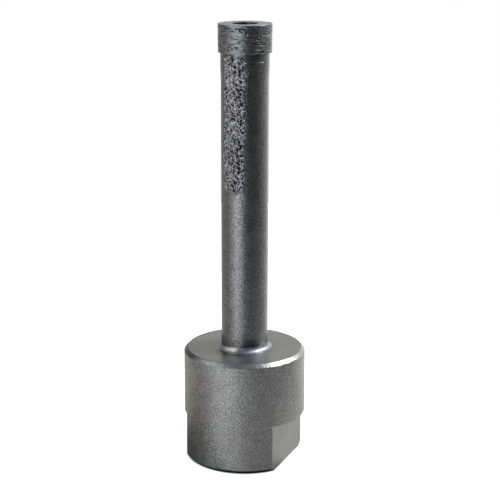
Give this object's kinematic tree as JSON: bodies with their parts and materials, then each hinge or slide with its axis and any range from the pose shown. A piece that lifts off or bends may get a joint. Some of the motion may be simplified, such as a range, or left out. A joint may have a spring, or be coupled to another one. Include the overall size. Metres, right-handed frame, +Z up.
{
  "type": "diamond core bit",
  "caption": "Dry diamond core bit: threaded grinder hub with spanner flats, slim tube with side grit strips and a sintered diamond crown.",
  "frame": {"origin": "centre of the hub's seat face, at the mouth of the spindle thread", "axes": "+Z up the tube to the diamond crown, +X out of one spanner flat"},
  "size_m": [0.028, 0.028, 0.1002],
  "materials": {
    "hub_steel": "anthracite metallic paint with a fine sparkle, over turned steel",
    "tube_steel": "anthracite metallic paint with a fine sparkle, over drawn steel tube",
    "brazing_metal": "smooth painted brazing fillet",
    "diamond_crown": "sintered metal with diamond crystals, pitted and lightly scratched",
    "brazed_grit": "diamond crystals in nickel brazing metal, rough and sparkling"
  },
  "bodies": {
    "root": {"m14_hub": "hub_steel", "core_tube": "tube_steel", "braze_ring": "brazing_metal", "diamond_crown": "diamond_crown", "grit_strip_1": "brazed_grit", "grit_strip_2": "brazed_grit"}
  },
  "joints": []
}
